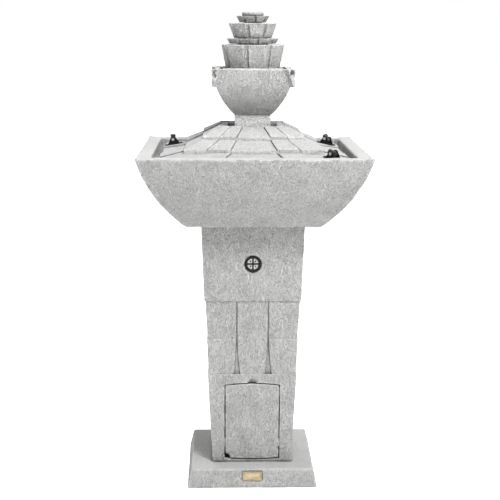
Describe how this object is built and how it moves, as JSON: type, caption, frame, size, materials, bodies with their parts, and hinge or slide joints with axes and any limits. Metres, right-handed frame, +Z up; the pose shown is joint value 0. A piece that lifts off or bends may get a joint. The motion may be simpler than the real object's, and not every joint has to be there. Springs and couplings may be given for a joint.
{
  "type": "tiered water fountain",
  "caption": "Square pedestal garden fountain: petal-tiered top over a spouted urn, roof-shaped cover and basin on a tapered column with an access door.",
  "frame": {"origin": "centre of the plinth's footprint on the ground", "axes": "+Z up along the riser pipe, -Y towards the access door, +X to the right of someone facing the door"},
  "size_m": [0.491, 0.491, 1.045],
  "materials": {
    "cast_stone": "matt, brushed stone texture",
    "rosette_stone": "matt",
    "black_paint": "satin black",
    "brass": "aged satin",
    "steel": "zinc plated",
    "rubber": "matt",
    "black_plastic": "matt",
    "blue_plastic": "gloss",
    "clear_hose": "translucent vinyl",
    "lens": "clear"
  },
  "bodies": {
    "stand": {"plinth": "cast_stone", "plinth_feet": "rubber", "plinth_bolts": "steel", "plinth_washers": "steel", "plinth_nuts": "steel", "nameplate": "brass", "nameplate_rivets": "brass", "column": "cast_stone", "basin_gasket": "rubber", "door_keepers": "steel", "keeper_screws": "steel", "rosette_backing": "rosette_stone", "rosette_frame": "black_paint", "rosette_screws": "black_paint", "basin": "cast_stone", "basin_bolts": "steel", "basin_washers": "rubber", "basin_nuts": "steel", "cable_grommet": "rubber", "cover_pads": "rubber", "pump_body": "black_plastic", "impeller_shaft": "steel", "pump_intake_cover": "black_plastic", "pump_suction_feet": "rubber", "outlet_adapter": "black_plastic", "riser_pipe": "clear_hose", "hose_clamp": "steel", "bubbler_nozzle": "black_plastic"},
    "door": {"access_door": "cast_stone", "door_magnets": "steel"},
    "drain": {"drain_plug": "rubber"},
    "cover": {"roof_cover": "cast_stone", "lamp_brackets": "black_paint", "lamp_pivot_screws": "steel"},
    "urn": {"neck_block": "cast_stone", "spout_urn": "cast_stone"},
    "tiers": {"lower_tier_cup": "cast_stone", "lower_petal_ring": "cast_stone", "upper_tier_cup": "cast_stone", "upper_petal_ring": "cast_stone", "top_cup": "cast_stone"},
    "rotor": {"impeller": "blue_plastic"},
    "flow_control": {"flow_slider": "black_plastic"},
    "lamp_front_right": {"lamp_head_front_right": "black_plastic", "lamp_lens_front_right": "lens"},
    "lamp_back_left": {"lamp_head_back_left": "black_plastic", "lamp_lens_back_left": "lens"},
    "lamp_back_right": {"lamp_head_back_right": "black_plastic", "lamp_lens_back_right": "lens"}
  },
  "joints": [
    {"name": "access_door_pull", "type": "slide", "parent": "stand", "child": "door", "axis": [0, -1, 0], "range_m": [0, 0.18]},
    {"name": "drain_plug_pull", "type": "slide", "parent": "stand", "child": "drain", "axis": [0, 0, -1], "range_m": [0, 0.04]},
    {"name": "cover_lift", "type": "slide", "parent": "stand", "child": "cover", "axis": [0, 0, 1], "range_m": [0, 0.44]},
    {"name": "urn_lift", "type": "slide", "parent": "cover", "child": "urn", "axis": [0, 0, 1], "range_m": [0, 0.26]},
    {"name": "tiers_lift", "type": "slide", "parent": "urn", "child": "tiers", "axis": [0, 0, 1], "range_m": [0, 0.21]},
    {"name": "impeller_spin", "type": "hinge", "parent": "stand", "child": "rotor", "pos_m": [0, -0.036, 0.632], "axis": [0, 1, 0], "continuous": true},
    {"name": "flow_slider_travel", "type": "slide", "parent": "stand", "child": "flow_control", "axis": [1, 0, 0], "range_m": [-0.016, 0.016]},
    {"name": "lamp_front_right_tilt", "type": "hinge", "parent": "cover", "child": "lamp_front_right", "pos_m": [0.165, -0.18101, 0.75445], "axis": [0.7071, 0.6971, 0.1185], "range_deg": [-4, 86]},
    {"name": "lamp_back_left_tilt", "type": "hinge", "parent": "cover", "child": "lamp_back_left", "pos_m": [-0.18001, 0.088, 0.75762], "axis": [0, -1, 0], "range_deg": [-80, 10]},
    {"name": "lamp_back_right_tilt", "type": "hinge", "parent": "cover", "child": "lamp_back_right", "pos_m": [0.17501, 0.09, 0.75847], "axis": [0.6337, 0.766, -0.1077], "range_deg": [-40, 50]}
  ]
}
